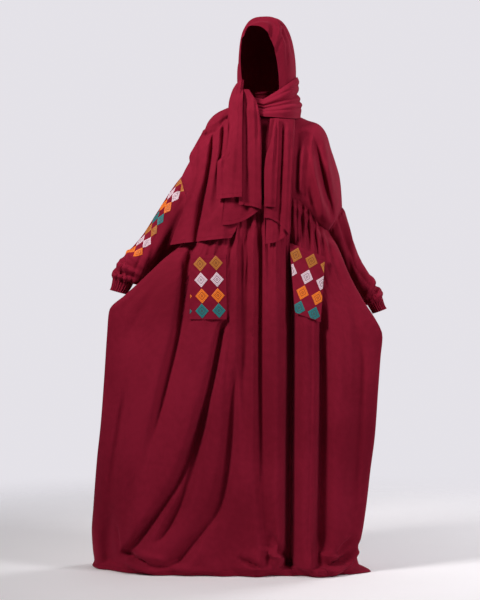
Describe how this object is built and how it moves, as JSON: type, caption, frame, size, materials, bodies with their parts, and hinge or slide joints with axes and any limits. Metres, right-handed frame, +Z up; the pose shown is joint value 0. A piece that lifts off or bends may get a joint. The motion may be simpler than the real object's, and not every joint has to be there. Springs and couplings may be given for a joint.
{
  "type": "prayer dress with head scarf",
  "caption": "Loose long-sleeved prayer dress with a gathered full skirt, patch pockets and a wound head scarf, its skirt held out at both sides and its hem resting on the floor.",
  "frame": {"origin": "between the shoulders at the neck opening, where the dress hangs from", "axes": "+Z up, -Y to the front of the dress, +X to the wearer's left"},
  "size_m": [0.9176, 0.3905, 1.7102],
  "materials": {
    "crepe": "matt deep maroon crepe",
    "embroidered_crepe": "maroon crepe worked with diamonds in gold, lilac, orange and teal thread",
    "scarf_crepe": "matt deep maroon crepe"
  },
  "bodies": {
    "root": {"skirt_front": "crepe", "skirt_back": "crepe", "yoke_front": "crepe", "yoke_back": "crepe", "sleeve_right": "crepe", "sleeve_left": "crepe", "cuff_right": "crepe", "cuff_left": "crepe", "pocket_right": "embroidered_crepe", "pocket_left": "embroidered_crepe", "scarf_hood": "scarf_crepe", "scarf_neck_wrap": "scarf_crepe", "scarf_shoulder_drape": "scarf_crepe", "scarf_end_right_back": "scarf_crepe", "scarf_end_right_front": "scarf_crepe", "scarf_end_left_back": "scarf_crepe", "scarf_end_left_front": "scarf_crepe"}
  },
  "joints": []
}
